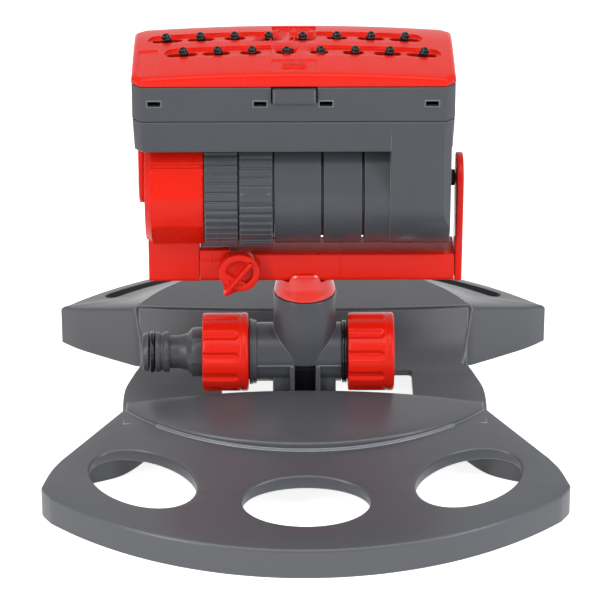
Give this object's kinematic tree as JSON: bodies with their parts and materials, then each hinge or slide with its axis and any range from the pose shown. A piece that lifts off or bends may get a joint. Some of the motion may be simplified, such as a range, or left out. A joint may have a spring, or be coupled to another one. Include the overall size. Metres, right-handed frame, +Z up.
{
  "type": "oscillating lawn sprinkler",
  "caption": "Oscillating lawn sprinkler on a wide ground base, with a swinging nozzle head, reach rings, a width slider and a flow knob.",
  "frame": {"origin": "on the ground under the middle of the base", "axes": "+X to the right as seen from the front, along the water pipe and the head's pivot; +Y to the back; +Z up"},
  "size_m": [0.221, 0.2544, 0.1835],
  "materials": {
    "red_plastic": "gloss",
    "grey_plastic": "satin",
    "black_rubber": "matte",
    "black_plastic": "matte",
    "steel": "satin"
  },
  "bodies": {
    "stand": {"base": "grey_plastic", "tee": "grey_plastic", "foot_screw_front": "steel", "foot_screw_rear": "steel", "hose_nipple": "grey_plastic", "nipple_o_ring": "black_rubber", "union_washer": "black_rubber", "end_seal": "black_rubber", "stem_collar": "red_plastic", "water_bar": "red_plastic", "arm_bar": "red_plastic", "pivot_arm": "red_plastic", "gearbox_housing": "red_plastic", "gearbox_lid": "red_plastic"},
    "union_nut": {"union_nut": "red_plastic"},
    "end_cap": {"end_cap": "red_plastic", "cap_washer": "black_rubber"},
    "flow_valve": {"flow_knob": "red_plastic", "valve_plug": "black_plastic"},
    "head": {"lower_housing": "grey_plastic", "upper_housing": "grey_plastic", "cover": "red_plastic", "pivot_ear": "red_plastic", "drive_axle": "steel", "pivot_bush": "black_rubber"},
    "reach_ring_left": {"reach_ring_left": "grey_plastic"},
    "reach_ring_right": {"reach_ring_right": "grey_plastic"},
    "width_slider": {"width_slider": "grey_plastic"},
    "turbine": {"turbine_wheel": "grey_plastic"},
    "drive_gear": {"drive_gear": "black_plastic"},
    "nozzle_front_1": {"nozzle_front_1": "black_rubber"},
    "nozzle_front_2": {"nozzle_front_2": "black_rubber"},
    "nozzle_front_3": {"nozzle_front_3": "black_rubber"},
    "nozzle_front_4": {"nozzle_front_4": "black_rubber"},
    "nozzle_front_5": {"nozzle_front_5": "black_rubber"},
    "nozzle_front_6": {"nozzle_front_6": "black_rubber"},
    "nozzle_front_7": {"nozzle_front_7": "black_rubber"},
    "nozzle_front_8": {"nozzle_front_8": "black_rubber"},
    "nozzle_rear_1": {"nozzle_rear_1": "black_rubber"},
    "nozzle_rear_2": {"nozzle_rear_2": "black_rubber"},
    "nozzle_rear_3": {"nozzle_rear_3": "black_rubber"},
    "nozzle_rear_4": {"nozzle_rear_4": "black_rubber"},
    "nozzle_rear_5": {"nozzle_rear_5": "black_rubber"},
    "nozzle_rear_6": {"nozzle_rear_6": "black_rubber"},
    "nozzle_rear_7": {"nozzle_rear_7": "black_rubber"},
    "nozzle_rear_8": {"nozzle_rear_8": "black_rubber"}
  },
  "joints": [
    {"name": "head_swing", "type": "hinge", "parent": "stand", "child": "head", "pos_m": [0, 0, 0.12], "axis": [1, 0, 0], "range_deg": [-45, 45]},
    {"name": "flow_turn", "type": "hinge", "parent": "stand", "child": "flow_valve", "pos_m": [-0.0278, -0.0093, 0.0819], "axis": [0, 1, 0], "range_deg": [-23, 67]},
    {"name": "union_nut_turn", "type": "hinge", "parent": "stand", "child": "union_nut", "pos_m": [-0.0342, 0, 0.037], "axis": [1, 0, 0], "continuous": true},
    {"name": "end_cap_turn", "type": "hinge", "parent": "stand", "child": "end_cap", "pos_m": [0.0285, 0, 0.037], "axis": [1, 0, 0], "continuous": true},
    {"name": "reach_left_turn", "type": "hinge", "parent": "head", "child": "reach_ring_left", "pos_m": [0, 0, 0.12], "axis": [1, 0, 0], "range_deg": [-60, 60]},
    {"name": "reach_right_turn", "type": "hinge", "parent": "head", "child": "reach_ring_right", "pos_m": [0, 0, 0.12], "axis": [1, 0, 0], "range_deg": [-60, 60]},
    {"name": "width_slide", "type": "slide", "parent": "head", "child": "width_slider", "axis": [0, 1, 0], "range_m": [-0.004, 0.004]},
    {"name": "gear_spin", "type": "hinge", "parent": "stand", "child": "drive_gear", "pos_m": [-0.063, 0, 0.12], "axis": [1, 0, 0], "continuous": true},
    {"name": "turbine_spin", "type": "hinge", "parent": "stand", "child": "turbine", "pos_m": [-0.063, 0, 0.1036], "axis": [1, 0, 0], "continuous": true},
    {"name": "nozzle_front_1_tilt", "type": "hinge", "parent": "head", "child": "nozzle_front_1", "pos_m": [-0.0492, -0.0085, 0.1611], "axis": [0, 1, 0], "range_deg": [-8.03, 8.03]},
    {"name": "nozzle_front_2_tilt", "type": "hinge", "parent": "head", "child": "nozzle_front_2", "pos_m": [-0.0354, -0.0085, 0.1611], "axis": [0, 1, 0], "range_deg": [-6.24, 6.24]},
    {"name": "nozzle_front_3_tilt", "type": "hinge", "parent": "head", "child": "nozzle_front_3", "pos_m": [-0.0216, -0.0085, 0.1611], "axis": [0, 1, 0], "range_deg": [-4.45, 4.45]},
    {"name": "nozzle_front_4_tilt", "type": "hinge", "parent": "head", "child": "nozzle_front_4", "pos_m": [-0.0078, -0.0085, 0.1611], "axis": [0, 1, 0], "range_deg": [-2.67, 2.67]},
    {"name": "nozzle_front_5_tilt", "type": "hinge", "parent": "head", "child": "nozzle_front_5", "pos_m": [0.006, -0.0085, 0.1611], "axis": [0, 1, 0], "range_deg": [-3.6, 3.6]},
    {"name": "nozzle_front_6_tilt", "type": "hinge", "parent": "head", "child": "nozzle_front_6", "pos_m": [0.0198, -0.0085, 0.1611], "axis": [0, 1, 0], "range_deg": [-5.39, 5.39]},
    {"name": "nozzle_front_7_tilt", "type": "hinge", "parent": "head", "child": "nozzle_front_7", "pos_m": [0.0336, -0.0085, 0.1611], "axis": [0, 1, 0], "range_deg": [-7.17, 7.17]},
    {"name": "nozzle_front_8_tilt", "type": "hinge", "parent": "head", "child": "nozzle_front_8", "pos_m": [0.0474, -0.0085, 0.1611], "axis": [0, 1, 0], "range_deg": [-8.96, 8.96]},
    {"name": "nozzle_rear_1_tilt", "type": "hinge", "parent": "head", "child": "nozzle_rear_1", "pos_m": [-0.0564, 0.007, 0.1611], "axis": [0, 1, 0], "range_deg": [-8.96, 8.96]},
    {"name": "nozzle_rear_2_tilt", "type": "hinge", "parent": "head", "child": "nozzle_rear_2", "pos_m": [-0.0426, 0.007, 0.1611], "axis": [0, 1, 0], "range_deg": [-7.17, 7.17]},
    {"name": "nozzle_rear_3_tilt", "type": "hinge", "parent": "head", "child": "nozzle_rear_3", "pos_m": [-0.0288, 0.007, 0.1611], "axis": [0, 1, 0], "range_deg": [-5.39, 5.39]},
    {"name": "nozzle_rear_4_tilt", "type": "hinge", "parent": "head", "child": "nozzle_rear_4", "pos_m": [-0.015, 0.007, 0.1611], "axis": [0, 1, 0], "range_deg": [-3.6, 3.6]},
    {"name": "nozzle_rear_5_tilt", "type": "hinge", "parent": "head", "child": "nozzle_rear_5", "pos_m": [-0.0012, 0.007, 0.1611], "axis": [0, 1, 0], "range_deg": [-2.67, 2.67]},
    {"name": "nozzle_rear_6_tilt", "type": "hinge", "parent": "head", "child": "nozzle_rear_6", "pos_m": [0.0126, 0.007, 0.1611], "axis": [0, 1, 0], "range_deg": [-4.45, 4.45]},
    {"name": "nozzle_rear_7_tilt", "type": "hinge", "parent": "head", "child": "nozzle_rear_7", "pos_m": [0.0264, 0.007, 0.1611], "axis": [0, 1, 0], "range_deg": [-6.24, 6.24]},
    {"name": "nozzle_rear_8_tilt", "type": "hinge", "parent": "head", "child": "nozzle_rear_8", "pos_m": [0.0402, 0.007, 0.1611], "axis": [0, 1, 0], "range_deg": [-8.03, 8.03]}
  ],
  "couplings": [
    {"joint": "turbine_spin", "follows": "gear_spin", "ratio": -3},
    {"joint": "nozzle_front_1_tilt", "follows": "width_slide", "rad_per_m": -31.275},
    {"joint": "nozzle_front_2_tilt", "follows": "width_slide", "rad_per_m": -24.314},
    {"joint": "nozzle_front_3_tilt", "follows": "width_slide", "rad_per_m": -17.352},
    {"joint": "nozzle_front_4_tilt", "follows": "width_slide", "rad_per_m": -10.391},
    {"joint": "nozzle_front_5_tilt", "follows": "width_slide", "rad_per_m": 14.023},
    {"joint": "nozzle_front_6_tilt", "follows": "width_slide", "rad_per_m": 20.984},
    {"joint": "nozzle_front_7_tilt", "follows": "width_slide", "rad_per_m": 27.945},
    {"joint": "nozzle_front_8_tilt", "follows": "width_slide", "rad_per_m": 34.907},
    {"joint": "nozzle_rear_1_tilt", "follows": "width_slide", "rad_per_m": -34.907},
    {"joint": "nozzle_rear_2_tilt", "follows": "width_slide", "rad_per_m": -27.945},
    {"joint": "nozzle_rear_3_tilt", "follows": "width_slide", "rad_per_m": -20.984},
    {"joint": "nozzle_rear_4_tilt", "follows": "width_slide", "rad_per_m": -14.023},
    {"joint": "nozzle_rear_5_tilt", "follows": "width_slide", "rad_per_m": 10.391},
    {"joint": "nozzle_rear_6_tilt", "follows": "width_slide", "rad_per_m": 17.352},
    {"joint": "nozzle_rear_7_tilt", "follows": "width_slide", "rad_per_m": 24.314},
    {"joint": "nozzle_rear_8_tilt", "follows": "width_slide", "rad_per_m": 31.275}
  ]
}
